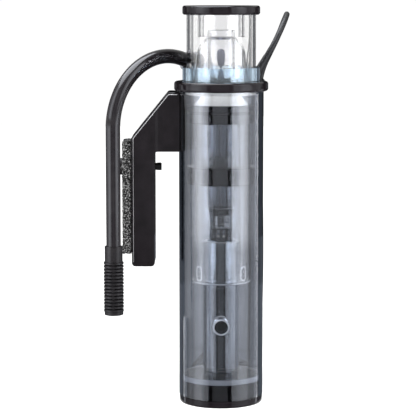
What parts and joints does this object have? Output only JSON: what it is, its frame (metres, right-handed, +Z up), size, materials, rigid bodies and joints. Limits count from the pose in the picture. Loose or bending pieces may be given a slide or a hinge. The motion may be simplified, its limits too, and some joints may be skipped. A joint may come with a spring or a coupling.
{
  "type": "hang-on protein skimmer",
  "caption": "Slim cylindrical hang-on protein skimmer with a smoke tube body, over-rim bracket, siphon pipe, strainer and lift-off collection cup.",
  "frame": {"origin": "centre of the round base's underside", "axes": "+Z up along the body tube, -X towards the tank wall, +Y towards the rear siphon socket and mains lead"},
  "size_m": [0.1568, 0.1901, 0.3302],
  "materials": {
    "smoke_acrylic": "clear smoke-tinted acrylic tube, polished",
    "clear_acrylic": "clear acrylic, polished",
    "blue_acrylic": "clear acrylic with a pale blue edge glow",
    "white_acrylic": "white translucent acrylic",
    "grey_spacer": "grey translucent silicone",
    "black_acrylic": "black acrylic, polished",
    "black_plastic": "black moulded plastic, fine grain",
    "black_pipe": "black bent pipe, satin gloss",
    "grey_elbow": "smoky grey moulded elbow",
    "foam": "coarse open-cell black foam",
    "brass": "plain brass insert",
    "ceramic": "white ceramic bush",
    "magnet": "coated ferrite magnet",
    "steel": "ground steel",
    "seal_rubber": "black nitrile seal",
    "lead_rubber": "black mains lead sheath",
    "air_silicone": "smoky silicone air tube"
  },
  "bodies": {
    "housing": {"base_plate": "black_acrylic", "base_plug": "black_acrylic", "base_spacer": "grey_spacer", "body_tube": "smoke_acrylic", "top_flange": "black_acrylic", "cup_collar": "blue_acrylic", "rear_manifold": "black_acrylic", "bracket_front": "black_acrylic", "bracket_back": "black_acrylic", "bracket_duct": "black_acrylic", "outlet_grille": "black_plastic", "foam_pad": "foam", "screw_sleeve": "black_acrylic", "thread_insert": "brass", "chamber_floor": "clear_acrylic", "reaction_tube_lower": "clear_acrylic", "reaction_tube_upper": "clear_acrylic", "mid_ring": "black_acrylic", "chamber_top_ring": "black_acrylic", "bubble_plate": "black_acrylic", "riser_hub": "black_acrylic", "riser_tube_lower": "clear_acrylic", "riser_tube_upper": "clear_acrylic", "diffuser_funnel": "black_plastic", "pump_housing": "clear_acrylic", "intake_cage": "black_plastic", "stand_tube": "clear_acrylic", "motor_mount": "black_plastic", "motor_can": "black_plastic", "shaft_housing": "black_plastic", "shaft_bushes": "ceramic", "air_tube": "air_silicone", "inner_cable": "lead_rubber", "air_valve_body": "black_plastic", "strain_relief": "lead_rubber", "power_cord": "lead_rubber", "cord_coil": "lead_rubber", "plug_body": "black_plastic", "plug_blades": "brass"},
    "cup": {"cup_tube": "clear_acrylic", "cup_base_ring": "black_acrylic", "cup_o_ring": "seal_rubber", "neck_cone": "white_acrylic", "neck_tube": "clear_acrylic", "foam_bell": "clear_acrylic"},
    "cup_lid": {"lid": "black_acrylic", "lid_plug": "clear_acrylic"},
    "rotor": {"rotor_magnet": "magnet", "rotor_shaft": "steel", "needle_wheel": "black_plastic"},
    "siphon": {"siphon_pipe": "black_pipe", "inlet_elbow": "grey_elbow", "elbow_o_ring": "seal_rubber"},
    "strainer_head": {"strainer": "black_plastic", "strainer_cap": "black_plastic"},
    "clamp_pad": {"clamp_tip": "black_plastic"},
    "clamp_spindle": {"clamp_screw": "black_plastic", "clamp_knob": "black_plastic"},
    "valve_stem": {"air_valve_knob": "black_plastic"}
  },
  "joints": [
    {"name": "cup_lift", "type": "slide", "parent": "housing", "child": "cup", "axis": [0, 0, 1], "range_m": [0, 0.06]},
    {"name": "lid_lift", "type": "slide", "parent": "cup", "child": "cup_lid", "axis": [0, 0, 1], "range_m": [0, 0.03]},
    {"name": "rotor_spin", "type": "hinge", "parent": "housing", "child": "rotor", "pos_m": [0, 0, 0.15], "axis": [0, 0, 1], "continuous": true},
    {"name": "siphon_swivel", "type": "hinge", "parent": "housing", "child": "siphon", "pos_m": [-0.0175, 0.043, 0.262], "axis": [0, 0, 1], "range_deg": [-30, 12]},
    {"name": "strainer_pull", "type": "slide", "parent": "siphon", "child": "strainer_head", "axis": [0, 0, -1], "range_m": [0, 0.015]},
    {"name": "clamp_travel", "type": "slide", "parent": "housing", "child": "clamp_pad", "axis": [1, 0, 0], "range_m": [-0.0015, 0.0065]},
    {"name": "clamp_spin", "type": "hinge", "parent": "clamp_pad", "child": "clamp_spindle", "pos_m": [-0.07, 0.011, 0.1963], "axis": [1, 0, 0], "range_deg": [-560, 2360]},
    {"name": "air_valve_turn", "type": "hinge", "parent": "housing", "child": "valve_stem", "pos_m": [0, 0.042, 0.28], "axis": [0, 0, 1], "range_deg": [0, 270]}
  ],
  "couplings": [
    {"joint": "clamp_spin", "follows": "clamp_travel", "rad_per_m": 6283.2}
  ]
}
